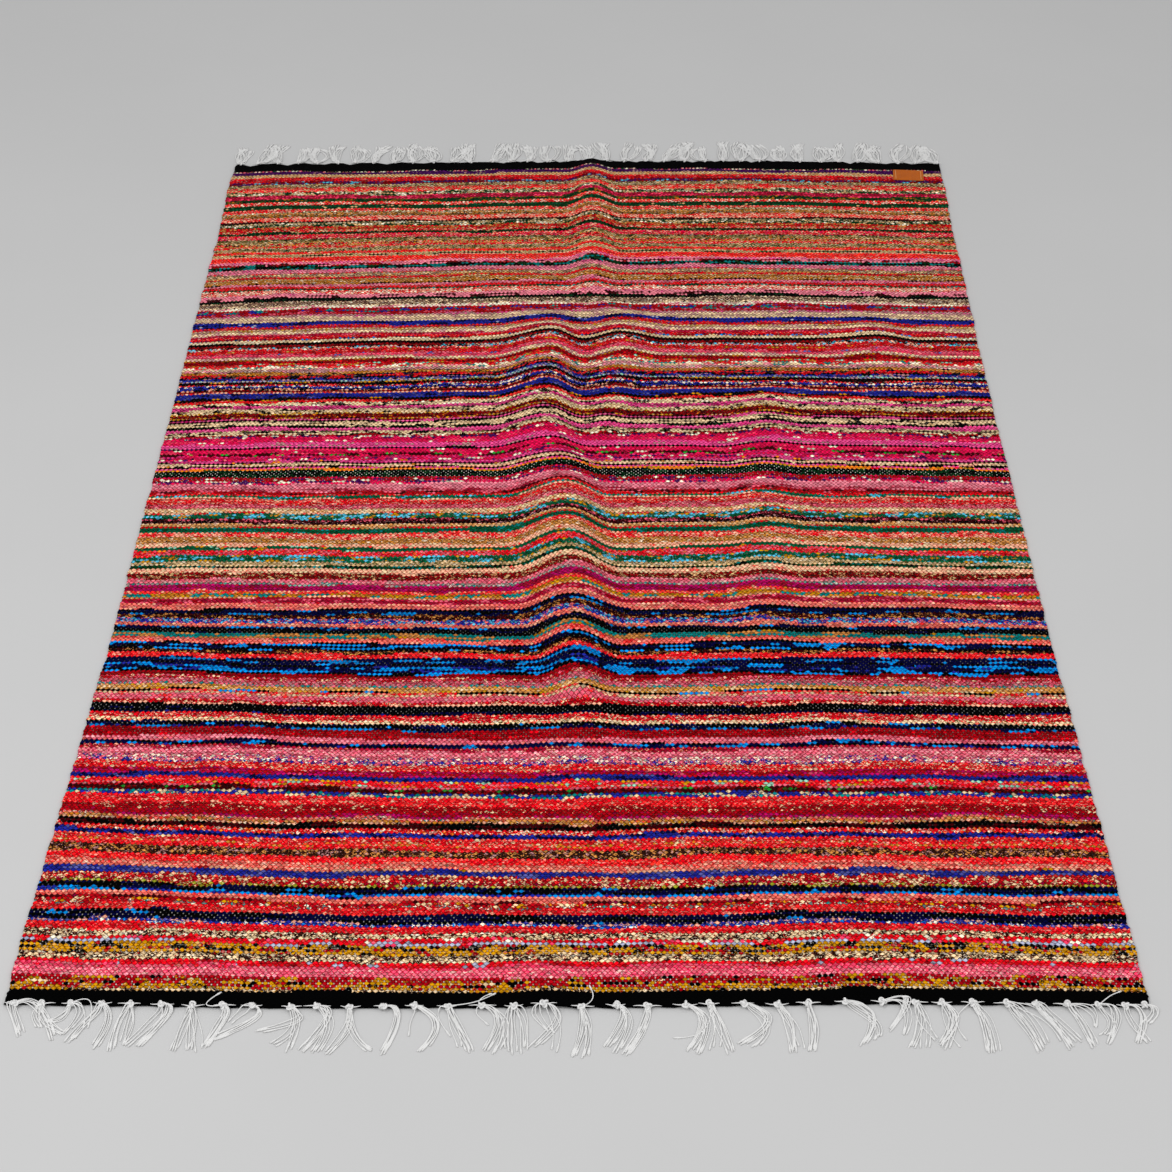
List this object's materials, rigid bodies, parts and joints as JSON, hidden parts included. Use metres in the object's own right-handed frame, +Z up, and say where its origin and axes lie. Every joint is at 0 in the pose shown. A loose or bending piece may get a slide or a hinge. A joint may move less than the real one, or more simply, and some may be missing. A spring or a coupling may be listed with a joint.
{
  "type": "striped flat-woven rug",
  "caption": "Long rectangular flat-woven rug in many bright uneven weft stripes, with black end bands, knotted warp fringes, soft lengthwise ridges and a small bare leather patch.",
  "frame": {"origin": "on the floor, at the middle of the rug's bounding box with both fringes", "axes": "+X across the rug, +Y along it away from the near end, towards the end with the patch, +Z up from the floor"},
  "size_m": [1.4058, 2.1676, 0.0424],
  "materials": {
    "cloth": "weft-faced cotton rag weave",
    "warp": "loosely twisted white cotton",
    "patch": "smooth tan leather"
  },
  "bodies": {
    "root": {"cloth": "cloth", "fringe_near": "warp", "fringe_far": "warp", "patch": "patch"}
  },
  "joints": []
}
